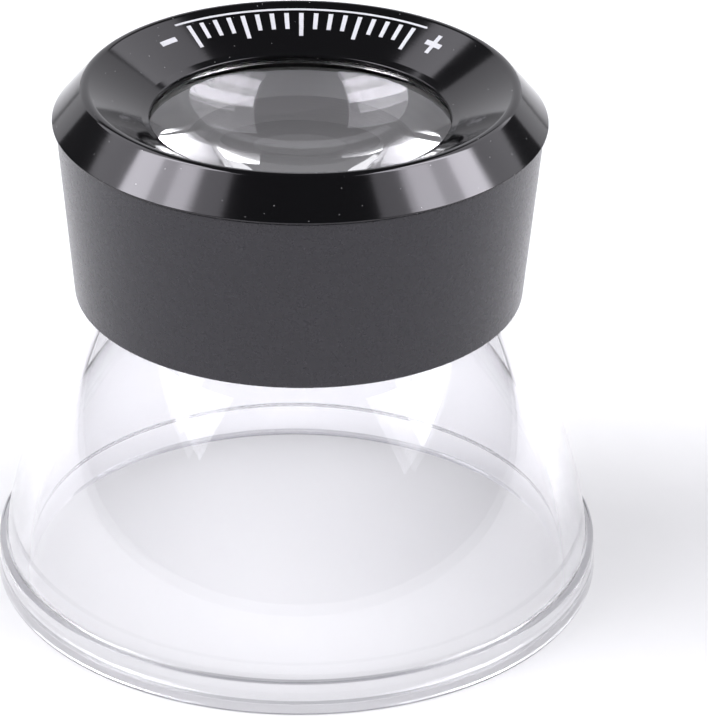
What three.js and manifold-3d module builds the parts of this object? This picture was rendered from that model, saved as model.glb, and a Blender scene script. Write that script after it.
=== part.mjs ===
// Viewing loupe: a clear bell-shaped skirt that stands on the film, and a black head that holds the lenses.
// The head turns on a thread round the skirt's neck, so it rises as it turns and focuses the lenses.
// Millimetres, +Z up, origin at the middle of the skirt's foot, at rest on the head's lower stop.
import * as THREE from "three";
import { mergeVertices } from "three/addons/utils/BufferGeometryUtils.js";
import Module from "manifold-3d";

const ROUND_SEGMENTS = 48;
const GAP = 0.3;

// Clear skirt
const FOOT_RADIUS = 25;
const FOOT_HEIGHT = 2.85;
const FOOT_DRAFT = 0.2;
const FOOT_BEVEL = 0.25;
const FOOT_BORE_BEVEL = 0.4;
const BELL_OUTSIDE = { centre: new THREE.Vector2(-31.24, -6.36), radius: 56.3 };
const BELL_INSIDE = { centre: new THREE.Vector2(-23.9, -5.4), radius: 46.5 };
const BELL_DIVISIONS = 4;
const NECK_RADIUS = 15.6;
const NECK_BORE = 14.5;
const NECK_LEDGE_Z = 24.6;
const NECK_TOP = 37;

// Focusing thread
const LEAD = 2;
const THREAD_DEPTH = 0.65;
const THREAD_ROOT_HALF = 0.6;
const THREAD_CREST_HALF = 0.25;
const THREAD_TURNS = 1.5;
const THREAD_START_Z = 27.4;
const COLLAR_THREAD_FIRST_TURN = 0.625;
const THREAD_BITE = 0.1;

// Stop ring clipped round the neck
const STOP_RING_Z = 35.05;
const STOP_RING_THICKNESS = 0.5;
const STOP_RING_OUTER = 16.35;
const STOP_RING_MOUTH = 4;
const STOP_GROOVE_DEPTH = 0.45;

// Collar
const COLLAR_BOTTOM_Z = 25.29;
const COLLAR_TOP_Z = 39.6;
const COLLAR_BOTTOM_RADIUS = 18.08;
const COLLAR_TOP_RADIUS = 19.3;
const COLLAR_LAND_BORE = 15.95;
const COLLAR_LAND_Z = 31.35;
const COLLAR_LAND_TOP = 33;
const COLLAR_CHAMBER_BORE = 16.75;
const COLLAR_FLANGE_BORE = 17.6;
const EDGE_BEVEL = 0.2;

// Damping ring in the collar's groove
const DAMPING_SECTION = 0.45;
const DAMPING_SIDES = 8;
const DAMPING_Z = 32.2;

// Lens cell and what it holds
const CELL_RADIUS = 14.1;
const CELL_BORE = 13;
const CELL_BOTTOM_Z = 25.6;
const CELL_TOP_Z = 39.4;
const FLANGE_TOP_Z = 38.4;
const FLANGE_RADIUS = 17.3;
const FLANGE_THICKNESS = 1.1;
const LENS_RADIUS = CELL_BORE - GAP;
const EYE_LENS = { top: 39.5, bottom: 38.3, upperRadius: -110, lowerRadius: 23 };
const FIELD_LENS = { top: 31, bottom: 29, upperRadius: 80, lowerRadius: 80 };
const SPACER = { bore: 9, lowerSeat: [31.85, 31.35], upperSeat: [35.86, 37.86] };
const RETAINER = { bottom: 26.15, top: 28.15, bore: 9, slotWidth: 1.6, slotDepth: 0.9 };

// Bezel
const BEZEL_SPIGOT_Z = 38.7;
const BEZEL_SPIGOT_BORE = 15.2;
const BEZEL_RIM_BOTTOM = 39.9;
const BEZEL_RIM_TOP = 40.04;
const BEZEL_RIM_RADIUS = 19.58;
const BEZEL_LIP_BOTTOM = 39.8;
const BEZEL_APERTURE = 11.95;
const BEZEL_DISH_START = new THREE.Vector2(12.55, 40.4);
const BEZEL_CREST_CENTRE = new THREE.Vector2(16.9, 42.27);
const BEZEL_CREST_RADIUS = 0.6;
const DISH_ANGLE = THREE.MathUtils.degToRad(28);
const CHAMFER_ANGLE = THREE.MathUtils.degToRad(48);

const wasm = await Module();
wasm.setup();

// Turns a closed outline of (radius, height) points about +Z.
function turned(outline, divisions = 3) {
  const points = outline.getPoints(divisions);
  points.push(points[0].clone());
  return new THREE.LatheGeometry(points, ROUND_SEGMENTS).rotateX(Math.PI / 2);
}

function outlineThrough(corners) {
  return new THREE.Path(corners.map(([radius, height]) => new THREE.Vector2(radius, height)));
}

// A plain ring with square corners.
function ring(bore, radius, bottom, top) {
  const corners = [
    [bore, bottom],
    [radius, bottom],
    [radius, top],
    [bore, top],
  ];
  return turned(outlineThrough(corners));
}

function solid(geometry) {
  const bare = geometry.clone().deleteAttribute("normal").deleteAttribute("uv");
  const merged = mergeVertices(bare, 1e-4);
  const mesh = new wasm.Mesh({
    numProp: 3,
    vertProperties: merged.attributes.position.array,
    triVerts: new Uint32Array(merged.index.array),
  });
  return new wasm.Manifold(mesh);
}

function geometryOf(manifold) {
  const { vertProperties, triVerts } = manifold.getMesh();
  const geometry = new THREE.BufferGeometry();
  geometry.setAttribute("position", new THREE.BufferAttribute(vertProperties, 3));
  geometry.setIndex(new THREE.BufferAttribute(triVerts, 1));
  return geometry;
}

// One helical rib. Its root is at rootRadius and its crest at crestRadius, inside or outside the root.
// The helix crosses the +X side at zeroZ, and the rib begins firstTurn turns further on.
function threadRib(rootRadius, crestRadius, zeroZ, firstTurn) {
  const outwards = Math.sign(crestRadius - rootRadius);
  const buried = rootRadius - outwards * THREAD_BITE;
  const section = [
    [buried, -THREAD_ROOT_HALF],
    [crestRadius, -THREAD_CREST_HALF],
    [crestRadius, THREAD_CREST_HALF],
    [buried, THREAD_ROOT_HALF],
  ];
  if (outwards < 0) section.reverse();
  const steps = Math.round(THREAD_TURNS * ROUND_SEGMENTS);
  const positions = [];
  for (let step = 0; step <= steps; step += 1) {
    const turn = firstTurn + step / ROUND_SEGMENTS;
    const angle = turn * 2 * Math.PI;
    const centreZ = zeroZ + turn * LEAD;
    for (const [radius, offset] of section) {
      positions.push(radius * Math.cos(angle), radius * Math.sin(angle), centreZ + offset);
    }
  }
  const corners = section.length;
  const faces = [];
  for (let step = 0; step < steps; step += 1) {
    for (let corner = 0; corner < corners; corner += 1) {
      const here = step * corners + corner;
      const beside = step * corners + ((corner + 1) % corners);
      faces.push(here, here + corners, beside);
      faces.push(beside, here + corners, beside + corners);
    }
  }
  const last = steps * corners;
  faces.push(0, 1, 2, 0, 2, 3);
  faces.push(last, last + 2, last + 1, last, last + 3, last + 2);
  const geometry = new THREE.BufferGeometry();
  geometry.setAttribute("position", new THREE.Float32BufferAttribute(positions, 3));
  geometry.setIndex(faces);
  return geometry;
}

function collarRadiusAt(z) {
  const along = (z - COLLAR_BOTTOM_Z) / (COLLAR_TOP_Z - COLLAR_BOTTOM_Z);
  return THREE.MathUtils.lerp(COLLAR_BOTTOM_RADIUS, COLLAR_TOP_RADIUS, along);
}

// The bell's inside and outside are arcs; the wall is thinnest near the foot and thickens to the neck.
function bellArc(outline, { centre, radius }, fromAngle, toAngle) {
  outline.absarc(centre.x, centre.y, radius, fromAngle, toAngle, toAngle < fromAngle);
}

function angleAtHeight({ centre, radius }, z) {
  return Math.asin((z - centre.y) / radius);
}

function angleAtDistance({ centre, radius }, distance) {
  return Math.acos((distance - centre.x) / radius);
}

function clearSkirt() {
  const boreAngle = angleAtHeight(BELL_INSIDE, FOOT_BORE_BEVEL);
  const footBore = BELL_INSIDE.centre.x + BELL_INSIDE.radius * Math.cos(boreAngle);
  const footTop = FOOT_RADIUS - FOOT_DRAFT;
  const grooveBottom = STOP_RING_Z - GAP;
  const grooveTop = STOP_RING_Z + STOP_RING_THICKNESS + GAP;
  const outline = new THREE.Path();
  outline.moveTo(footBore + FOOT_BORE_BEVEL, 0);
  outline.lineTo(FOOT_RADIUS - FOOT_BEVEL, 0);
  outline.lineTo(FOOT_RADIUS, FOOT_BEVEL);
  outline.lineTo(footTop, FOOT_HEIGHT - FOOT_BEVEL);
  outline.lineTo(footTop - FOOT_BEVEL / 2, FOOT_HEIGHT);
  const shoulderAngle = angleAtHeight(BELL_OUTSIDE, FOOT_HEIGHT);
  bellArc(outline, BELL_OUTSIDE, shoulderAngle, angleAtDistance(BELL_OUTSIDE, NECK_RADIUS));
  outline.lineTo(NECK_RADIUS, grooveBottom);
  outline.lineTo(NECK_RADIUS - STOP_GROOVE_DEPTH, grooveBottom);
  outline.lineTo(NECK_RADIUS - STOP_GROOVE_DEPTH, grooveTop);
  outline.lineTo(NECK_RADIUS, grooveTop);
  outline.lineTo(NECK_RADIUS, NECK_TOP);
  outline.lineTo(NECK_BORE, NECK_TOP);
  outline.lineTo(NECK_BORE, NECK_LEDGE_Z);
  bellArc(outline, BELL_INSIDE, angleAtHeight(BELL_INSIDE, NECK_LEDGE_Z), boreAngle);
  const body = turned(outline, BELL_DIVISIONS);
  const rib = threadRib(NECK_RADIUS, NECK_RADIUS + THREAD_DEPTH, THREAD_START_Z, 0);
  return geometryOf(solid(body).add(solid(rib)));
}

// A flat ring with a mouth, so that it springs over the neck into its groove.
function stopRing() {
  const bore = NECK_RADIUS - STOP_GROOVE_DEPTH + GAP;
  const full = ring(bore, STOP_RING_OUTER, STOP_RING_Z, STOP_RING_Z + STOP_RING_THICKNESS);
  const mouth = new THREE.BoxGeometry(STOP_RING_MOUTH, STOP_RING_OUTER, 2 * STOP_RING_THICKNESS);
  mouth.translate(0, STOP_RING_OUTER, STOP_RING_Z + STOP_RING_THICKNESS / 2);
  return geometryOf(solid(full).subtract(solid(mouth)));
}

function collar() {
  const land = COLLAR_LAND_BORE;
  const threadRoot = land + THREAD_DEPTH;
  const grooveRoot = NECK_RADIUS + 2 * (DAMPING_SECTION + GAP);
  const grooveHalf = DAMPING_SECTION + GAP;
  const flangeSeat = FLANGE_TOP_Z - FLANGE_THICKNESS - GAP;
  const corners = [
    [threadRoot, COLLAR_BOTTOM_Z],
    [COLLAR_BOTTOM_RADIUS - EDGE_BEVEL, COLLAR_BOTTOM_Z],
    [collarRadiusAt(COLLAR_BOTTOM_Z + EDGE_BEVEL), COLLAR_BOTTOM_Z + EDGE_BEVEL],
    [collarRadiusAt(COLLAR_TOP_Z - EDGE_BEVEL), COLLAR_TOP_Z - EDGE_BEVEL],
    [COLLAR_TOP_RADIUS - EDGE_BEVEL, COLLAR_TOP_Z],
    [COLLAR_FLANGE_BORE, COLLAR_TOP_Z],
    [COLLAR_FLANGE_BORE, flangeSeat],
    [COLLAR_CHAMBER_BORE, flangeSeat],
    [COLLAR_CHAMBER_BORE, COLLAR_LAND_TOP],
    [land, COLLAR_LAND_TOP],
    [land, DAMPING_Z + grooveHalf],
    [grooveRoot, DAMPING_Z + grooveHalf],
    [grooveRoot, DAMPING_Z - grooveHalf],
    [land, DAMPING_Z - grooveHalf],
    [land, COLLAR_LAND_Z],
    [threadRoot, COLLAR_LAND_Z],
  ];
  const body = turned(outlineThrough(corners));
  const betweenTurnsZ = THREAD_START_Z - LEAD / 2;
  const rib = threadRib(threadRoot, land, betweenTurnsZ, COLLAR_THREAD_FIRST_TURN);
  return geometryOf(solid(body).add(solid(rib)));
}

function dampingRing() {
  const middle = NECK_RADIUS + GAP + DAMPING_SECTION;
  const torus = new THREE.TorusGeometry(middle, DAMPING_SECTION, DAMPING_SIDES, ROUND_SEGMENTS);
  return torus.translate(0, 0, DAMPING_Z);
}

function lensCell() {
  const corners = [
    [CELL_BORE, CELL_BOTTOM_Z],
    [CELL_RADIUS, CELL_BOTTOM_Z],
    [CELL_RADIUS, FLANGE_TOP_Z - FLANGE_THICKNESS],
    [FLANGE_RADIUS, FLANGE_TOP_Z - FLANGE_THICKNESS],
    [FLANGE_RADIUS, FLANGE_TOP_Z],
    [CELL_RADIUS, FLANGE_TOP_Z],
    [CELL_RADIUS, CELL_TOP_Z],
    [CELL_BORE, CELL_TOP_Z],
  ];
  return turned(outlineThrough(corners));
}

// Adds one optical face as an arc between the axis and the lens's edge; a negative radius is hollow.
function opticalFace(outline, edgeZ, radius, side, fromAxis) {
  const size = Math.abs(radius);
  const bulge = Math.sign(radius) * side;
  const centreZ = edgeZ - bulge * Math.sqrt(size ** 2 - LENS_RADIUS ** 2);
  const axisAngle = (bulge * Math.PI) / 2;
  const edgeAngle = bulge * Math.acos(LENS_RADIUS / size);
  const from = fromAxis ? axisAngle : edgeAngle;
  const to = fromAxis ? edgeAngle : axisAngle;
  outline.absarc(0, centreZ, size, from, to, to < from);
}

function lens({ top, bottom, upperRadius, lowerRadius }) {
  const outline = new THREE.Path();
  opticalFace(outline, bottom, lowerRadius, -1, true);
  opticalFace(outline, top, upperRadius, 1, false);
  const points = outline.getPoints(3);
  points[0].x = 0;
  points[points.length - 1].x = 0;
  return new THREE.LatheGeometry(points, ROUND_SEGMENTS).rotateX(Math.PI / 2);
}

// The tube between the two lenses. Each end slopes with its lens, from the bore to the edge.
function lensSpacer() {
  const { bore, lowerSeat, upperSeat } = SPACER;
  const corners = [
    [bore, lowerSeat[0]],
    [LENS_RADIUS, lowerSeat[1]],
    [LENS_RADIUS, upperSeat[1]],
    [bore, upperSeat[0]],
  ];
  return turned(outlineThrough(corners));
}

// The ring's lower face has two slots for a pin spanner.
function retainingRing() {
  const { bottom, top, bore, slotWidth, slotDepth } = RETAINER;
  const slot = new THREE.BoxGeometry(3 * LENS_RADIUS, slotWidth, 2 * slotDepth).translate(0, 0, bottom);
  return geometryOf(solid(ring(bore, LENS_RADIUS, bottom, top)).subtract(solid(slot)));
}

// A dished ring: the eye rests round the crest, and the dish runs down to the lens.
function bezel() {
  const crest = BEZEL_CREST_CENTRE;
  const chamferEnd = Math.PI / 2 - CHAMFER_ANGLE;
  const dishEnd = Math.PI / 2 + DISH_ANGLE;
  const rimBevel = (BEZEL_RIM_TOP - BEZEL_RIM_BOTTOM) / 4;
  const outline = new THREE.Path();
  outline.moveTo(BEZEL_APERTURE, BEZEL_LIP_BOTTOM);
  outline.lineTo(BEZEL_SPIGOT_BORE, BEZEL_LIP_BOTTOM);
  outline.lineTo(BEZEL_SPIGOT_BORE, BEZEL_SPIGOT_Z);
  outline.lineTo(FLANGE_RADIUS, BEZEL_SPIGOT_Z);
  outline.lineTo(FLANGE_RADIUS, BEZEL_RIM_BOTTOM);
  outline.lineTo(BEZEL_RIM_RADIUS - rimBevel, BEZEL_RIM_BOTTOM);
  outline.lineTo(BEZEL_RIM_RADIUS, BEZEL_RIM_BOTTOM + rimBevel);
  outline.lineTo(BEZEL_RIM_RADIUS, BEZEL_RIM_TOP);
  outline.absarc(crest.x, crest.y, BEZEL_CREST_RADIUS, chamferEnd, dishEnd, false);
  outline.lineTo(BEZEL_DISH_START.x, BEZEL_DISH_START.y);
  outline.lineTo(BEZEL_APERTURE, BEZEL_DISH_START.y - GAP);
  return turned(outline);
}

function piece(name, geometry, color, roughness, metalness, look = {}) {
  const material = new THREE.MeshStandardMaterial({ color, roughness, metalness, ...look });
  const mesh = new THREE.Mesh(geometry, material);
  mesh.name = name;
  return mesh;
}

const clear = { transparent: true, opacity: 0.35 };
const loupe = new THREE.Group();
loupe.add(
  piece("clear_skirt", clearSkirt(), "#eef2f2", 0.05, 0, clear),
  piece("stop_ring", stopRing(), "#9a9ca0", 0.35, 1),
  piece("damping_ring", dampingRing(), "#161616", 0.8, 0),
  piece("collar", collar(), "#4a4a4c", 0.5, 0.2),
  piece("lens_cell", lensCell(), "#141415", 0.6, 0.1),
  piece("field_lens", lens(FIELD_LENS), "#f2f6f5", 0.03, 0, clear),
  piece("lens_spacer", lensSpacer(), "#141415", 0.7, 0.1),
  piece("eye_lens", lens(EYE_LENS), "#f2f6f5", 0.03, 0, clear),
  piece("retaining_ring", retainingRing(), "#19191a", 0.55, 0.2),
  piece("bezel", bezel(), "#0b0b0c", 0.12, 0),
);

export default loupe;
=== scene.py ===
import math

import bpy
from mathutils import Matrix, Vector


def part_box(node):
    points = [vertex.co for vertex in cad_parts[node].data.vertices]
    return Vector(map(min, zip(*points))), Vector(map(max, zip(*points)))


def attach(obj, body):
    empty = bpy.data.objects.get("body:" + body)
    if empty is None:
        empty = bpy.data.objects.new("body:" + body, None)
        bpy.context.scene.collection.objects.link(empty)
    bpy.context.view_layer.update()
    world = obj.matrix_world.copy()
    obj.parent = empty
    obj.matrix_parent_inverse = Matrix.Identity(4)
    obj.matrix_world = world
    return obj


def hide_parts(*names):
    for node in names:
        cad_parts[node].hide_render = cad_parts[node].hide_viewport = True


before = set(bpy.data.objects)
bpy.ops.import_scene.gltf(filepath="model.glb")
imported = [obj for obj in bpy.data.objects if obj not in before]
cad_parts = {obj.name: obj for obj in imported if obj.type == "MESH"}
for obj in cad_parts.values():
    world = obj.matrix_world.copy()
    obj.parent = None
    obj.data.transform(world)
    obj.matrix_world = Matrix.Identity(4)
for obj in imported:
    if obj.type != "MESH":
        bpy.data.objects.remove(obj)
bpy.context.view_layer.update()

# A viewing loupe. Outlines are (radius, height) pairs in millimetres above the film; meshes are in metres.
MM = 0.001
TINY = 1e-6

# How many straight steps stand for a turn round the axis, or for one curve of an outline.
SEGMENTS = 192
SKIRT_SEGMENTS = 240
BEZEL_SEGMENTS = 256
BELL_STEPS = 40
LENS_STEPS = 40
SEAL_STEPS = 20
CREST_STEPS = 16
FILLET_STEPS = 4

# Fillets, and the largest share of an edge that one takes. A held point just past each end of a fillet
# keeps its smooth shading off the flat face beside it.
FILLET = 0.08
CRISP_FILLET = 0.05
EASED_FILLET = 0.1
FILLET_SHARE = 0.4
HOLD = 0.03
HOLD_SHARE = 0.08


def corners_of(node):
    low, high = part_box(node)
    return low / MM, high / MM


# Sizes that come from the frame.
FOOT_RADIUS = corners_of("clear_skirt")[1].x
NECK_TOP = corners_of("clear_skirt")[1].z
COLLAR_BOTTOM = corners_of("collar")[0].z
CELL_BOTTOM, CELL_TOP = (corner.z for corner in corners_of("lens_cell"))
FLANGE_RADIUS = corners_of("lens_cell")[1].x
LENS_RADIUS = corners_of("eye_lens")[1].x
RIM_RADIUS = corners_of("bezel")[1].x
STOP_BOTTOM, STOP_TOP = (corner.z for corner in corners_of("stop_ring"))
STOP_RADIUS = corners_of("stop_ring")[1].x
DAMPING_BOTTOM, DAMPING_TOP = (corner.z for corner in corners_of("damping_ring"))
DAMPING_RADIUS = corners_of("damping_ring")[1].x

# The clear skirt. Each face of the bell is an arc: (centre radius, centre height, arc radius).
FOOT_HEIGHT = 2.85
FOOT_DRAFT = 0.2
FOOT_BEVEL = 0.4
FOOT_FILLET = 0.3
FOOT_STEP_FILLET = 0.2
BELL_OUTSIDE = (-31.24, -6.36, 56.3)
BELL_INSIDE = (-23.9, -5.4, 46.5)
LEDGE_HEIGHT = 24.6
NECK_RADIUS = 15.6
NECK_BORE = 14.5

# The rings in the grooves of the neck and the collar, and the gap round them. The mouth is a width.
RING_GAP = 0.3
STOP_GROOVE_DEPTH = 0.45
STOP_INSET = 0.15
STOP_MOUTH = 4

# The lens cell and what it holds. Lens edges are (top, bottom) heights and lens faces (upper, lower) radii,
# with a hollow face's radius negative.
CELL_RADIUS = 14.1
CELL_BORE = 13.0
FLANGE_TOP = 38.4
FLANGE_THICKNESS = 1.1
BAFFLE_BORE = 9.0
SPACER_LOWER_CONE = 0.5
SPACER_UPPER_CONE = 2.0
FIELD_LENS_EDGES = (31, 29)
FIELD_LENS_FACES = (80, 80)
EYE_LENS_EDGES = (39.5, 38.3)
EYE_LENS_FACES = (-110, 23)
LENS_BEVEL = 0.12
SLOT_HALF_WIDTH = 0.8
SLOT_DEPTH = 0.9

# The focusing thread, whose rib is wider at its root than at its crest and runs out at both ends.
THREAD_LEAD = 2.0
THREAD_DEPTH = 0.65
THREAD_ROOT_HALF = 0.6
THREAD_CREST_HALF = 0.25
THREAD_ZERO = 27.4
THREAD_BOTTOM = 27.1
THREAD_TOP = 31.1
THREAD_STEP = 0.08
THREAD_MARGIN = 0.1

# The collar. Its land holds the damping ring, and the seam is the gap under the bezel.
COLLAR_BOTTOM_RADIUS = 18.08
COLLAR_TOP_RADIUS = 19.3
COLLAR_FOOT_FILLET = 0.18
COLLAR_RIM_FILLET = 0.12
COLLAR_THREAD_TOP = 31.35
COLLAR_LAND_BORE = 15.95
COLLAR_LAND_TOP = 33.0
COLLAR_BORE = 16.75
COLLAR_MOUTH_BORE = 17.6
FLANGE_SEAT_DEPTH = 1.4
SEAM = 0.1

# The bezel. Its crest is an arc like the bell's, between the dish and the chamfer.
RIM_TOP = 40.04
RIM_BOTTOM = 39.9
LIP_BOTTOM = 39.8
SLEEVE_BOTTOM = 38.7
SLEEVE_BORE = 15.2
APERTURE = 11.95
APERTURE_STEP = 0.3
DISH_START = (12.55, 40.4)
DISH_SLOPE = math.radians(28)
DISH_FILLET = 0.3
CREST = (16.9, 42.269, 0.6)
CHAMFER_SLOPE = math.radians(48)
CHAMFER_FILLET = 0.04

# The focus scale printed on the back of the dish. Pairs are (inner, outer) radii, and angles are in degrees.
TICKS_EACH_SIDE = 8
TICK_PITCH = 4.5
TICK_HALF_WIDTH = 0.7
TICK_RADII = (14.3, 15.7)
LONG_TICK_RADII = (13.7, 15.7)
LONG_TICK_EVERY = 4
SCALE_LINE_REACH = 40
SCALE_LINE_RADII = (15.95, 16.1)
SIGN_ANGLE = 46
SIGN_HALF_WIDTH = 3.2
SIGN_BAR_RADII = (14.75, 15.15)
PLUS_STROKE_RADII = (14.1, 15.8)
PLUS_STROKE_SHARE = 1.1
PATCH_STEP = 1.5
INK_LIFT = 0.012
INK_THICKNESS = 0.02

# Finishes, with the foot's ground face, its darker lower edge and the painted shade on its step in
# millimetres.
# A Mix node's colour sockets go by number, because its other sockets have the same names.
LILAC = (0.98, 0.95, 1.0, 1)
MIX_FIRST, MIX_SECOND, MIX_RESULT = 6, 7, 2
GROUND_TOP = 0.03
DARK_EDGE_TOP = 0.25
# The band of painted shade round the step: its half height, and how far in from the foot's edge it reaches.
STEP_SHADE_HALF = 0.07
STEP_SHADE_INSET = 1
GROUND_ROUGHNESS = 0.1
CLEAR_TINTS = ((0.915, 0.913, 0.93, 1), (0.93, 0.928, 0.942, 1))
RIDGE_SIZE = 1.6

# The stage and the lamps, in metres and degrees. Strips stand a little before their softbox and each other.
FLOOR_HALF = 1.6
FLOOR_HEIGHT = -0.00002
LAMP_COLOUR = (0.99, 0.985, 1.03)
SOFTBOX_AZIMUTH, SOFTBOX_ELEVATION = 85, 42
SOFTBOX_DISTANCE = 0.75
STRIP_DISTANCE = 0.74
STRIP_SPACING = 0.005
STRIP_HEIGHT_SHARE = 0.95
PLAIN_LAMP_DISTANCE = 0.8
ROOM_COLOUR = (0.5, 0.5, 0.52, 1)
ROOM_STRENGTH = 0.16

# The camera, found from the photo: its lens in millimetres, its place in metres and its angles in degrees.
SENSOR_WIDTH = 36
FOCAL_LENGTH = 177.94
CLIP_START, CLIP_END = 0.01, 20
CAMERA_PLACE = (0, -0.25721, 0.15465)
CAMERA_PITCH, CAMERA_YAW, CAMERA_ROLL = 27.936, 1.012, 0.959


# ---------------------------------------------------------------- outlines

def arc(centre_r, centre_z, radius, start, end, steps):
    """Points of an arc between two angles, in radians from the +radius direction."""
    angles = [start + (end - start) * step / steps for step in range(steps + 1)]
    return [(centre_r + radius * math.cos(angle), centre_z + radius * math.sin(angle)) for angle in angles]


def bell(face, low, high):
    """Points up one face of the bell between two heights."""
    centre_r, centre_z, radius = face
    angles = [math.asin((height - centre_z) / radius) for height in (low, high)]
    return arc(centre_r, centre_z, radius, angles[0], angles[1], BELL_STEPS)


def bell_height(face, distance):
    """The height at which one face of the bell has this radius."""
    centre_r, centre_z, radius = face
    return centre_z + math.sqrt(radius ** 2 - (distance - centre_r) ** 2)


def softened(corners):
    """Rounds a closed outline's corners. A corner may carry its own fillet as a third number."""
    outline = []
    count = len(corners)
    for index, corner in enumerate(corners):
        here = Vector(corner[:2])
        before = Vector(corners[index - 1][:2])
        after = Vector(corners[(index + 1) % count][:2])
        to_before, to_after = before - here, after - here
        shorter = min(to_before.length, to_after.length)
        size = corner[2] if len(corner) > 2 else FILLET
        if size == 0 or shorter < TINY:
            outline.append(tuple(here))
            continue
        half = to_before.angle(to_after) / 2
        reach = min(size / math.tan(half), FILLET_SHARE * shorter)
        start = here + to_before.normalized() * reach
        end = here + to_after.normalized() * reach
        hold = min(HOLD, HOLD_SHARE * shorter)
        outline.append(tuple(start + to_before.normalized() * hold))
        for step in range(FILLET_STEPS + 1):
            share = step / FILLET_STEPS
            rest = 1 - share
            outline.append(tuple(start * rest ** 2 + here * 2 * share * rest + end * share ** 2))
        outline.append(tuple(end + to_after.normalized() * hold))
    return outline


def smooth_run(points):
    """Marks the points of a curve as ones that softened() leaves alone."""
    return [(radius, height, 0) for radius, height in points]


def towards(start, end, reach):
    """A point on the straight line from start to end, a short way along it."""
    start, end = Vector(start), Vector(end)
    return tuple(start + (end - start).normalized() * reach)


def thread_height(z, angle, zero):
    """How far a thread's rib stands up, 0 to 1, at a height and an angle round the axis."""
    turns = (z - zero) / THREAD_LEAD - angle / (2 * math.pi)
    away = abs(turns - round(turns)) * THREAD_LEAD
    rise = (THREAD_ROOT_HALF - away) / (THREAD_ROOT_HALF - THREAD_CREST_HALF)
    run_out = min(z - THREAD_BOTTOM, THREAD_TOP - z) / THREAD_ROOT_HALF
    return max(0.0, min(1.0, rise, run_out))


def thread_rows(radius, low, high):
    """A finely divided upright stretch that carries a thread."""
    steps = round((high - low) / THREAD_STEP)
    return [(radius, low + (high - low) * step / steps, 0) for step in range(steps + 1)]


def neck_thread(radius, z, angle):
    """The neck's radius, which its rib makes larger."""
    if abs(radius - NECK_RADIUS) > TINY:
        return radius
    return radius + THREAD_DEPTH * thread_height(z, angle, THREAD_ZERO)


def collar_thread(radius, z, angle):
    """The collar's bore, which its rib makes smaller, half a lead away from the neck's."""
    if abs(radius - COLLAR_LAND_BORE - THREAD_DEPTH) > TINY:
        return radius
    return radius - THREAD_DEPTH * thread_height(z, angle, THREAD_ZERO + THREAD_LEAD / 2)


# ---------------------------------------------------------------- meshes

def new_mesh(name, verts, faces, material):
    """A piece from points in millimetres."""
    mesh = bpy.data.meshes.new(name)
    mesh.from_pydata([Vector(v) * MM for v in verts], [], faces)
    mesh.shade_smooth()
    mesh.materials.append(material)
    mesh.validate()
    piece = bpy.data.objects.new(name, mesh)
    bpy.context.scene.collection.objects.link(piece)
    return piece


def split_ring(name, outline, material, mouth):
    """A ring that is open at the back. The mouth is an angle in radians."""
    start, turn = (math.pi + mouth) / 2, 2 * math.pi - mouth
    count = len(outline)
    verts = []
    for step in range(SEGMENTS + 1):
        angle = start + turn * step / SEGMENTS
        verts.extend((radius * math.cos(angle), radius * math.sin(angle), z) for radius, z in outline)
    last = SEGMENTS * count
    faces = [tuple(range(count)), tuple(reversed(range(last, last + count)))]
    for step in range(SEGMENTS):
        for index in range(count):
            here, beside = step * count + index, step * count + (index + 1) % count
            faces.append((here, here + count, beside + count, beside))
    return new_mesh(name, verts, faces, material)


def turned(name, outline, material, shape=None, segments=SEGMENTS):
    """A body of revolution from a closed outline that runs anticlockwise. Points on the axis become one."""
    verts, rings = [], []
    for radius, height in (point[:2] for point in outline):
        if radius < TINY:
            rings.append([len(verts)] * segments)
            verts.append((0, 0, height))
            continue
        ring = []
        for step in range(segments):
            angle = 2 * math.pi * step / segments
            distance = shape(radius, height, angle) if shape else radius
            ring.append(len(verts))
            verts.append((distance * math.cos(angle), distance * math.sin(angle), height))
        rings.append(ring)
    faces = []
    for index, lower in enumerate(rings):
        upper = rings[(index + 1) % len(rings)]
        for step in range(segments):
            after = (step + 1) % segments
            corners = [lower[step], lower[after], upper[after], upper[step]]
            face = list(dict.fromkeys(corners))
            if len(face) > 2:
                faces.append(face)
    return new_mesh(name, verts, faces, material)


def place(piece, body, slot, *nodes):
    """Says which body a piece rides on and which CAD nodes it replaces. The slot is not used."""
    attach(piece, body)
    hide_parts(*nodes)
    return piece


# ---------------------------------------------------------------- materials

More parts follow.
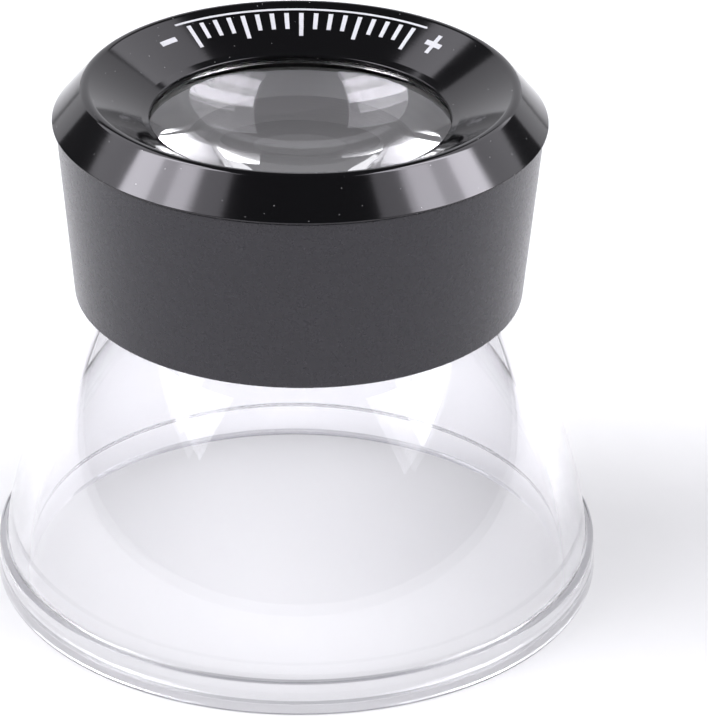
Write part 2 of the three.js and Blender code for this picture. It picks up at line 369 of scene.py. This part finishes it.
class Shader:
    """A small helper that adds nodes to a material and wires them up."""

    def __init__(self, name):
        self.material = bpy.data.materials.new(name)
        self.material.use_nodes = True
        self.tree = self.material.node_tree
        self.surface = self.tree.nodes["Principled BSDF"]

    def node(self, kind, **settings):
        made = self.tree.nodes.new(kind)
        for key, value in settings.items():
            setattr(made, key, value)
        return made

    def put(self, socket, value):
        if isinstance(value, bpy.types.NodeSocket):
            self.tree.links.new(value, socket)
        else:
            socket.default_value = value

    def base(self, **inputs):
        for key, value in inputs.items():
            self.put(self.surface.inputs[key.replace("_", " ")], value)

    def position(self):
        return self.node("ShaderNodeTexCoord").outputs["Object"]

    def math(self, operation, first, second=0.0):
        made = self.node("ShaderNodeMath", operation=operation)
        self.put(made.inputs[0], first)
        self.put(made.inputs[1], second)
        return made.outputs[0]

    def radius(self):
        """Distance from the optical axis, in metres."""
        flat = self.node("ShaderNodeVectorMath", operation="MULTIPLY")
        self.put(flat.inputs[0], self.position())
        self.put(flat.inputs[1], (1, 1, 0))
        length = self.node("ShaderNodeVectorMath", operation="LENGTH")
        self.put(length.inputs[0], flat.outputs[0])
        return length.outputs["Value"]

    def noise(self, size_mm, detail=2.0):
        made = self.node("ShaderNodeTexNoise")
        self.put(made.inputs["Vector"], self.position())
        self.put(made.inputs["Scale"], 1 / (size_mm * MM))
        self.put(made.inputs["Detail"], detail)
        return made.outputs["Fac"]

    def rings(self, size_mm):
        """Noise that changes only with the distance from the axis, like the marks of a turned die."""
        made = self.node("ShaderNodeTexNoise", noise_dimensions="1D")
        self.put(made.inputs["W"], self.radius())
        self.put(made.inputs["Scale"], 1 / (size_mm * MM))
        return made.outputs["Fac"]

    def specks(self, spacing_mm, size):
        """1 in small round specks, such as dust, and 0 elsewhere."""
        cells = self.node("ShaderNodeTexVoronoi", feature="F1")
        self.put(cells.inputs["Vector"], self.position())
        self.put(cells.inputs["Scale"], 1 / (spacing_mm * MM))
        return self.math("LESS_THAN", cells.outputs["Distance"], size)

    def between(self, factor, low, high):
        made = self.node("ShaderNodeMapRange")
        self.put(made.inputs["Value"], factor)
        self.put(made.inputs["To Min"], low)
        self.put(made.inputs["To Max"], high)
        return made.outputs["Result"]

    def mix(self, factor, first, second):
        made = self.node("ShaderNodeMix", data_type="RGBA")
        self.put(made.inputs["Factor"], factor)
        self.put(made.inputs[MIX_FIRST], first)
        self.put(made.inputs[MIX_SECOND], second)
        return made.outputs[MIX_RESULT]

    def bump(self, height, depth_mm, normal=None):
        made = self.node("ShaderNodeBump")
        self.put(made.inputs["Height"], height)
        self.put(made.inputs["Distance"], depth_mm * MM)
        if normal:
            self.put(made.inputs["Normal"], normal)
        return made.outputs["Normal"]


def grey(value, tint=0.0):
    """A grey whose blue is stronger by the tint."""
    return (value, value, value * (1 + tint), 1)


def let_light_through(shader, face_on, edge_on):
    """Shadows and bounced light pass a clear part nearly straight, as they do through a thin shell.

    The two numbers are the shares that pass where the surface is seen face on and edge on.
    """
    rays = shader.node("ShaderNodeLightPath")
    soft_rays = shader.math("MAXIMUM", rays.outputs["Is Shadow Ray"], rays.outputs["Is Diffuse Ray"])
    facing = shader.node("ShaderNodeLayerWeight")
    shader.put(facing.inputs["Blend"], 0.3)
    passing = shader.node("ShaderNodeBsdfTransparent")
    shader.put(passing.inputs["Color"], shader.mix(facing.outputs["Facing"], grey(face_on), grey(edge_on)))
    blend = shader.node("ShaderNodeMixShader")
    shader.put(blend.inputs["Fac"], soft_rays)
    shader.tree.links.new(shader.surface.outputs[0], blend.inputs[1])
    shader.tree.links.new(passing.outputs[0], blend.inputs[2])
    output = shader.tree.nodes["Material Output"]
    shader.tree.links.new(blend.outputs[0], output.inputs["Surface"])


def gloss_black():
    shader = Shader("gloss_black")
    dust = shader.specks(spacing_mm=0.9, size=0.05)
    marks = shader.bump(shader.rings(size_mm=0.16), depth_mm=0.0006)
    grain = shader.bump(shader.noise(size_mm=0.06), depth_mm=0.0002, normal=marks)
    shader.base(
        Base_Color=shader.mix(dust, grey(0.003, 0.15), grey(0.22)),
        Specular_Tint=LILAC,
        Roughness=shader.between(shader.noise(size_mm=2.5, detail=4), 0.07, 0.12),
        Normal=grain,
    )
    return shader.material


def satin_black():
    shader = Shader("satin_black")
    texture = shader.bump(shader.noise(size_mm=0.07, detail=3), depth_mm=0.004)
    shade = shader.mix(shader.noise(size_mm=1.8, detail=4), grey(0.011, 0.25), grey(0.015, 0.25))
    shader.base(
        Base_Color=shade,
        Roughness=shader.between(shader.noise(size_mm=0.5, detail=3), 0.24, 0.31),
        Specular_Tint=LILAC,
        Normal=texture,
    )
    return shader.material


def matt_black():
    shader = Shader("matt_black")
    ridges = shader.node("ShaderNodeTexWave", wave_type="BANDS", bands_direction="Z")
    shader.put(ridges.inputs["Vector"], shader.position())
    shader.put(ridges.inputs["Scale"], 1 / (RIDGE_SIZE * MM))
    texture = shader.bump(ridges.outputs["Fac"], depth_mm=0.01)
    shader.base(
        Base_Color=shader.mix(shader.noise(size_mm=1.0), grey(0.018), grey(0.03)),
        Roughness=shader.between(shader.noise(size_mm=0.2), 0.45, 0.6),
        Normal=texture,
    )
    return shader.material


def ground_face_dark_edge_and_step_shade(shader):
    """1 on the foot's ground underside, and 1 on its darker lower edge and on the painted shade along its
    step.
    """
    parts = shader.node("ShaderNodeSeparateXYZ")
    shader.put(parts.inputs[0], shader.position())
    height = parts.outputs["Z"]
    ground_face = shader.math("LESS_THAN", height, GROUND_TOP * MM)
    foot_edges = shader.math("LESS_THAN", height, DARK_EDGE_TOP * MM)
    from_step = shader.math("ABSOLUTE", shader.math("SUBTRACT", height, FOOT_HEIGHT * MM))
    # Painted shade: a grey band round the step between the foot and the bell.
    step = shader.math("LESS_THAN", from_step, STEP_SHADE_HALF * MM)
    outside = shader.math("GREATER_THAN", shader.radius(), (FOOT_RADIUS - STEP_SHADE_INSET) * MM)
    edges = shader.math("MAXIMUM", foot_edges, shader.math("MULTIPLY", step, outside))
    return ground_face, shader.math("SUBTRACT", edges, ground_face)


def clear_acrylic():
    shader = Shader("clear_acrylic")
    flow = shader.bump(shader.noise(size_mm=9.0, detail=1), depth_mm=0.004)
    ground_face, dark_edge_and_step_shade = ground_face_dark_edge_and_step_shade(shader)
    polish = shader.between(shader.noise(size_mm=1.5, detail=4), 0.0, 0.02)
    clear = shader.mix(shader.noise(size_mm=6.0, detail=1), *CLEAR_TINTS)
    shader.base(
        # Grey mixed into the clear tint makes the foot's lower edge darker and paints shade on its step.
        Base_Color=shader.mix(dark_edge_and_step_shade, clear, grey(0.4, 0.05)),
        Roughness=shader.math("MAXIMUM", polish, shader.math("MULTIPLY", ground_face, GROUND_ROUGHNESS)),
        Transmission_Weight=shader.between(ground_face, 0.985, 0.35),
        IOR=1.49,
        Normal=flow,
    )
    let_light_through(shader, face_on=0.98, edge_on=0.5)
    return shader.material


def optical_glass():
    shader = Shader("optical_glass")
    shader.base(
        Base_Color=shader.mix(shader.specks(spacing_mm=1.3, size=0.03), grey(0.97, 0.002), grey(0.8)),
        Roughness=shader.between(shader.noise(size_mm=1.0, detail=3), 0.0, 0.01),
        Specular_Tint=LILAC,
        Transmission_Weight=1.0,
        IOR=1.52,
    )
    return shader.material


def seal_rubber():
    shader = Shader("seal_rubber")
    shader.base(
        Base_Color=shader.mix(shader.noise(size_mm=0.8), grey(0.015), grey(0.03)),
        Roughness=shader.between(shader.noise(size_mm=0.3), 0.6, 0.8),
        Normal=shader.bump(shader.noise(size_mm=0.1), depth_mm=0.004),
    )
    return shader.material


def spring_steel():
    shader = Shader("spring_steel")
    shader.base(
        Base_Color=shader.mix(shader.noise(size_mm=0.6), grey(0.42), grey(0.55)),
        Metallic=1.0,
        Roughness=shader.between(shader.rings(size_mm=0.05), 0.25, 0.4),
    )
    return shader.material


def pale_print():
    shader = Shader("pale_print")
    worn = shader.noise(size_mm=0.12, detail=3)
    shader.base(
        Base_Color=shader.mix(worn, grey(0.5, 0.05), grey(0.68, 0.05)),
        Roughness=shader.between(worn, 0.45, 0.6),
        Normal=shader.bump(worn, depth_mm=0.003),
    )
    return shader.material


def white_paper():
    shader = Shader("white_paper")
    shader.base(
        Base_Color=shader.mix(shader.noise(size_mm=4.0), grey(0.86), grey(0.88)),
        Roughness=0.9,
    )
    return shader.material


# ---------------------------------------------------------------- pieces

def clear_skirt():
    shoulder = bell_height(BELL_OUTSIDE, NECK_RADIUS)
    inside = bell(BELL_INSIDE, FOOT_BEVEL, LEDGE_HEIGHT)
    foot_bore = inside[0][0]
    groove_bottom, groove_top = STOP_BOTTOM - RING_GAP, STOP_TOP + RING_GAP
    groove_root = NECK_RADIUS - STOP_GROOVE_DEPTH
    outline = softened([
        (foot_bore + FOOT_BEVEL, 0, CRISP_FILLET),
        (FOOT_RADIUS, 0, FOOT_FILLET),
        (FOOT_RADIUS - FOOT_DRAFT, FOOT_HEIGHT, FOOT_STEP_FILLET),
        *smooth_run(bell(BELL_OUTSIDE, FOOT_HEIGHT, shoulder)),
        *thread_rows(NECK_RADIUS, THREAD_BOTTOM - THREAD_MARGIN, THREAD_TOP + THREAD_MARGIN),
        (NECK_RADIUS, groove_bottom, CRISP_FILLET),
        (groove_root, groove_bottom, CRISP_FILLET),
        (groove_root, groove_top, CRISP_FILLET),
        (NECK_RADIUS, groove_top, CRISP_FILLET),
        (NECK_RADIUS, NECK_TOP, EASED_FILLET),
        (NECK_BORE, NECK_TOP, EASED_FILLET),
        (NECK_BORE, LEDGE_HEIGHT, EASED_FILLET),
        *smooth_run(reversed(inside)),
    ])
    piece = turned("clear_skirt_body", outline, clear_acrylic(), neck_thread, SKIRT_SEGMENTS)
    return place(piece, "skirt", "clear_acrylic", "clear_skirt")


def collar():
    land = COLLAR_LAND_BORE
    thread_root = land + THREAD_DEPTH
    groove_bottom, groove_top = DAMPING_BOTTOM - RING_GAP, DAMPING_TOP + RING_GAP
    groove_root = DAMPING_RADIUS + RING_GAP
    flange_seat = FLANGE_TOP - FLANGE_SEAT_DEPTH
    rim = RIM_BOTTOM - SEAM
    outline = softened([
        (thread_root, COLLAR_BOTTOM, EASED_FILLET),
        (COLLAR_BOTTOM_RADIUS, COLLAR_BOTTOM, COLLAR_FOOT_FILLET),
        (COLLAR_TOP_RADIUS, rim, COLLAR_RIM_FILLET),
        (COLLAR_MOUTH_BORE, rim),
        (COLLAR_MOUTH_BORE, flange_seat),
        (COLLAR_BORE, flange_seat),
        (COLLAR_BORE, COLLAR_LAND_TOP),
        (land, COLLAR_LAND_TOP),
        (land, groove_top),
        (groove_root, groove_top),
        (groove_root, groove_bottom),
        (land, groove_bottom),
        (land, COLLAR_THREAD_TOP),
        *reversed(thread_rows(thread_root, THREAD_BOTTOM - THREAD_MARGIN, COLLAR_THREAD_TOP)),
    ])
    piece = turned("collar_shell", outline, satin_black(), collar_thread)
    return place(piece, "head", "satin_black", "collar")


def bezel(material):
    crest_r, crest_z, crest_radius = CREST
    chamfer_foot = (RIM_RADIUS, RIM_TOP)
    upwards = math.pi / 2
    ends = (upwards - CHAMFER_SLOPE, upwards + DISH_SLOPE)
    crest = arc(crest_r, crest_z, crest_radius, *ends, CREST_STEPS)
    crest.insert(0, towards(crest[0], chamfer_foot, HOLD))
    crest.append(towards(crest[-1], DISH_START, HOLD))
    outline = softened([
        (APERTURE, LIP_BOTTOM, CRISP_FILLET),
        (SLEEVE_BORE, LIP_BOTTOM),
        (SLEEVE_BORE, SLEEVE_BOTTOM),
        (FLANGE_RADIUS, SLEEVE_BOTTOM),
        (FLANGE_RADIUS, RIM_BOTTOM),
        (RIM_RADIUS, RIM_BOTTOM, EASED_FILLET),
        (*chamfer_foot, CHAMFER_FILLET),
        *smooth_run(crest),
        (*DISH_START, DISH_FILLET),
        (APERTURE, DISH_START[1] - APERTURE_STEP, EASED_FILLET),
    ])
    piece = turned("bezel_ring", outline, material, segments=BEZEL_SEGMENTS)
    return place(piece, "head", "gloss_black", "bezel")


def lens_cell(material):
    flange_bottom = FLANGE_TOP - FLANGE_THICKNESS
    outline = softened([
        (CELL_BORE, CELL_BOTTOM),
        (CELL_RADIUS, CELL_BOTTOM),
        (CELL_RADIUS, flange_bottom),
        (FLANGE_RADIUS, flange_bottom),
        (FLANGE_RADIUS, FLANGE_TOP),
        (CELL_RADIUS, FLANGE_TOP),
        (CELL_RADIUS, CELL_TOP),
        (CELL_BORE, CELL_TOP),
    ])
    piece = turned("lens_cell_tube", outline, material)
    return place(piece, "head", "matt_black", "lens_cell")


def lens_face(edge_height, radius, side):
    """Points of an optical face from its edge to the axis.

    The side is 1 for an upper face and -1 for a lower one.
    """
    size = abs(radius)
    bulge = math.copysign(1, radius) * side
    centre = edge_height - bulge * math.sqrt(size ** 2 - LENS_RADIUS ** 2)
    edge = bulge * math.acos(LENS_RADIUS / size)
    return arc(0, centre, size, edge, bulge * math.pi / 2, LENS_STEPS)


def lens(name, node, material, edges, faces):
    """A lens from the heights of its edge, top and bottom, and the radii of its faces, upper and lower."""
    top, bottom = edges
    upper_face = lens_face(top, faces[0], 1)
    lower_face = lens_face(bottom, faces[1], -1)
    upper_face[-1] = (0, upper_face[-1][1])
    lower_face[-1] = (0, lower_face[-1][1])
    edge = [
        (LENS_RADIUS, bottom + LENS_BEVEL),
        (LENS_RADIUS, top - LENS_BEVEL),
    ]
    inner = LENS_RADIUS - LENS_BEVEL
    lower_run = [point for point in reversed(lower_face) if point[0] < inner]
    upper_run = [point for point in upper_face if point[0] < inner]
    piece = turned(name, lower_run + edge + upper_run, material)
    return place(piece, "head", "optical_glass", node)


def lens_spacer(material):
    low, high = corners_of("lens_spacer")
    outline = softened([
        (BAFFLE_BORE, low.z + SPACER_LOWER_CONE),
        (LENS_RADIUS, low.z),
        (LENS_RADIUS, high.z),
        (BAFFLE_BORE, high.z - SPACER_UPPER_CONE),
    ])
    piece = turned("lens_spacer_tube", outline, material)
    return place(piece, "head", "matt_black", "lens_spacer")


def retaining_ring(material):
    """A ring whose lower face has two spanner slots."""
    low, high = corners_of("retaining_ring")
    middle = (low.z + high.z) / 2
    outline = softened([
        (BAFFLE_BORE, low.z),
        (LENS_RADIUS, low.z),
        (LENS_RADIUS, high.z),
        (BAFFLE_BORE, high.z),
    ])
    piece = turned("retaining_ring_body", outline, material)
    for vertex in piece.data.vertices:
        in_slot = abs(vertex.co.y) < SLOT_HALF_WIDTH * MM
        if in_slot and vertex.co.z < middle * MM:
            vertex.co.z += SLOT_DEPTH * MM
    return place(piece, "head", "matt_black", "retaining_ring")


def stop_ring():
    """A spring ring in the neck's groove, open at the back."""
    bore = NECK_RADIUS - STOP_INSET
    outline = softened([
        (bore, STOP_BOTTOM),
        (STOP_RADIUS, STOP_BOTTOM),
        (STOP_RADIUS, STOP_TOP),
        (bore, STOP_TOP),
    ])
    piece = split_ring("stop_ring_clip", outline, spring_steel(), STOP_MOUTH / bore)
    return place(piece, "skirt", "spring_steel", "stop_ring")


def damping_ring():
    half = (DAMPING_TOP - DAMPING_BOTTOM) / 2
    middle = (DAMPING_TOP + DAMPING_BOTTOM) / 2
    outline = arc(DAMPING_RADIUS - half, middle, half, 0, 2 * math.pi, SEAL_STEPS)[:-1]
    piece = turned("damping_ring_seal", outline, seal_rubber())
    return place(piece, "damper", "seal_rubber", "damping_ring")


def focus_scale(material):
    """Pale printed ticks on the back of the dish, with a plus and a minus at the ends."""
    crest_r, crest_z, crest_radius = CREST
    dish_top = (
        crest_r - crest_radius * math.sin(DISH_SLOPE),
        crest_z + crest_radius * math.cos(DISH_SLOPE),
    )
    slope = (dish_top[1] - DISH_START[1]) / (dish_top[0] - DISH_START[0])
    verts, faces = [], []

    def patch(angle_from, angle_to, radii):
        """A thin slab of ink between two angles and two radii, lying on the dish."""
        steps = max(1, round(abs(angle_to - angle_from) / math.radians(PATCH_STEP)))
        start = len(verts)
        for step in range(steps + 1):
            angle = angle_from + (angle_to - angle_from) * step / steps
            for radius in radii:
                height = DISH_START[1] + (radius - DISH_START[0]) * slope + INK_LIFT
                for up in (0, INK_THICKNESS):
                    verts.append((radius * math.cos(angle), radius * math.sin(angle), height + up))
        for step in range(steps):
            near = start + 4 * step
            far = near + 4
            faces.extend([(near, near + 2, far + 2, far), (near + 1, far + 1, far + 3, near + 3)])
            faces.extend([(near, far, far + 1, near + 1), (near + 2, near + 3, far + 3, far + 2)])
        faces.append((start, start + 1, start + 3, start + 2))
        end = start + 4 * steps
        faces.append((end, end + 2, end + 3, end + 1))

    def mark(middle, half_width, radii):
        patch(middle - half_width, middle + half_width, radii)

    back = math.pi / 2
    tick_half = math.radians(TICK_HALF_WIDTH)
    for tick in range(-TICKS_EACH_SIDE, TICKS_EACH_SIDE + 1):
        radii = TICK_RADII if tick % LONG_TICK_EVERY else LONG_TICK_RADII
        mark(back - math.radians(TICK_PITCH * tick), tick_half, radii)
    line_reach = math.radians(SCALE_LINE_REACH)
    patch(back + line_reach, back - line_reach, SCALE_LINE_RADII)
    minus, plus = (back - side * math.radians(SIGN_ANGLE) for side in (-1, 1))
    mark(minus, math.radians(SIGN_HALF_WIDTH), SIGN_BAR_RADII)
    mark(plus, math.radians(SIGN_HALF_WIDTH), SIGN_BAR_RADII)
    stroke_half = tick_half * PLUS_STROKE_SHARE
    mark(plus, stroke_half, (PLUS_STROKE_RADII[0], SIGN_BAR_RADII[0]))
    mark(plus, stroke_half, (SIGN_BAR_RADII[1], PLUS_STROKE_RADII[1]))
    piece = new_mesh("focus_scale_print", verts, faces, material)
    piece.data.flip_normals()
    for polygon in piece.data.polygons:
        polygon.use_smooth = False
    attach(piece, "head")
    return piece


# ---------------------------------------------------------------- stage, lights and camera

def floor():
    half = FLOOR_HALF
    corners = [(-half, -half), (half, -half), (half, half), (-half, half)]
    mesh = bpy.data.meshes.new("floor")
    mesh.from_pydata([(x, y, FLOOR_HEIGHT) for x, y in corners], [], [(0, 1, 2, 3)])
    mesh.materials.append(white_paper())
    plane = bpy.data.objects.new("floor", mesh)
    bpy.context.scene.collection.objects.link(plane)


def panel(name, azimuth, elevation, distance, size, radiance, offset=(0, 0)):
    """A rectangular lamp that faces the loupe. Azimuth is from the camera's side towards +X, in degrees.

    The size and the offset are shares of the distance. The offset is (sideways, upwards).
    """
    turn, lift = math.radians(azimuth), math.radians(elevation)
    outwards = Vector((math.cos(lift) * math.sin(turn), -math.cos(lift) * math.cos(turn), math.sin(lift)))
    along = Vector((math.cos(turn), math.sin(turn), 0))
    upwards = outwards.cross(along)
    light = bpy.data.lights.new(name, "AREA")
    light.shape = "RECTANGLE"
    light.size, light.size_y = (side * distance for side in size)
    light.energy = radiance * math.pi * light.size * light.size_y
    light.color = LAMP_COLOUR
    lamp = bpy.data.objects.new(name, light)
    axes = Matrix((along, upwards, outwards)).transposed().to_4x4()
    centre = distance * (outwards + along * offset[0] + upwards * offset[1])
    lamp.matrix_world = Matrix.Translation(centre) @ axes
    lamp.visible_camera = False
    bpy.context.scene.collection.objects.link(lamp)
    return lamp


def softbox(name, side, edges, strength, strips):
    """A soft lamp beside the loupe: a diffuser, with edges front, back, low and high, and brighter strips.

    Each strip is (middle, width, added radiance). The strips only show in reflections.
    """
    azimuth = SOFTBOX_AZIMUTH * side
    front, back, low, high = edges
    height, level = high - low, (high + low) / 2
    middle = -side * (front + back) / 2
    direction = (azimuth, SOFTBOX_ELEVATION)
    size = (front - back, height)
    panel("softbox_" + name, *direction, SOFTBOX_DISTANCE, size, strength, (middle, level))
    for number, (across, width, radiance) in enumerate(strips):
        size, offset = (width, STRIP_HEIGHT_SHARE * height), (-side * across, level)
        distance = STRIP_DISTANCE - STRIP_SPACING * number
        strip = panel(f"strip_{name}_{number}", *direction, distance, size, radiance, offset)
        strip.visible_diffuse = False


def plain_lamp(name, azimuth, elevation, size, radiance):
    """A lamp that lights the scene but doesn't show in reflections."""
    panel(name, azimuth, elevation, PLAIN_LAMP_DISTANCE, size, radiance).visible_glossy = False


def lights():
    """Two softboxes with strips in them, a pale backdrop, three plain lamps and a dim room."""
    left_strips = [(0.08, 0.45, 4.3), (-0.047, 0.19, 5.4), (0.217, 0.12, 3.7)]
    right_strips = [(0.015, 0.545, 4.8), (0.172, 0.15, 3.3), (-0.13, 0.19, 5.6)]
    softbox("left", side=-1, edges=(0.475, -0.80, -0.25, 0.46), strength=2.2, strips=left_strips)
    softbox("right", side=1, edges=(0.455, -1.10, -0.32, 0.485), strength=1.8, strips=right_strips)
    backdrop = panel("backdrop", azimuth=180, elevation=17, distance=1.4, size=(1.9, 0.75), radiance=0.9)
    backdrop.visible_diffuse = False
    plain_lamp("key", azimuth=-78, elevation=46, size=(0.9, 0.6), radiance=4.2)
    plain_lamp("counter", azimuth=80, elevation=42, size=(0.9, 0.6), radiance=2.6)
    plain_lamp("fill", azimuth=20, elevation=75, size=(1.2, 1.0), radiance=0.3)
    world = bpy.data.worlds.new("room")
    world.use_nodes = True
    background = world.node_tree.nodes["Background"]
    background.inputs["Color"].default_value = ROOM_COLOUR
    background.inputs["Strength"].default_value = ROOM_STRENGTH
    bpy.context.scene.world = world


def camera():
    data = bpy.data.cameras.new("camera")
    data.sensor_width = SENSOR_WIDTH
    data.lens = FOCAL_LENGTH
    data.clip_start, data.clip_end = CLIP_START, CLIP_END
    pitch, yaw, roll = (math.radians(angle) for angle in (CAMERA_PITCH, CAMERA_YAW, CAMERA_ROLL))
    forward = Vector((math.sin(yaw) * math.cos(pitch), math.cos(yaw) * math.cos(pitch), -math.sin(pitch)))
    level = Vector((math.cos(yaw), -math.sin(yaw), 0))
    upright = level.cross(forward)
    across = level * math.cos(roll) + upright * math.sin(roll)
    up = upright * math.cos(roll) - level * math.sin(roll)
    holder = bpy.data.objects.new("camera", data)
    axes = Matrix((across, up, -forward)).transposed().to_4x4()
    holder.matrix_world = Matrix.Translation(CAMERA_PLACE) @ axes
    bpy.context.scene.collection.objects.link(holder)
    bpy.context.scene.camera = holder


def render_settings():
    scene = bpy.context.scene
    scene.view_settings.view_transform = "Standard"
    scene.view_settings.look = "None"
    scene.cycles.max_bounces = 24
    scene.cycles.transmission_bounces = 20
    scene.cycles.glossy_bounces = 8
    scene.cycles.transparent_max_bounces = 16
    scene.cycles.caustics_refractive = True
    scene.cycles.caustics_reflective = True
    scene.cycles.use_denoising = True


black = matt_black()
glass = optical_glass()
gloss = gloss_black()
clear_skirt()
stop_ring()
damping_ring()
collar()
lens_cell(black)
lens("field_lens_glass", "field_lens", glass, FIELD_LENS_EDGES, FIELD_LENS_FACES)
lens_spacer(black)
lens("eye_lens_glass", "eye_lens", glass, EYE_LENS_EDGES, EYE_LENS_FACES)
retaining_ring(black)
bezel(gloss)
focus_scale(pale_print())
floor()
lights()
camera()
render_settings()
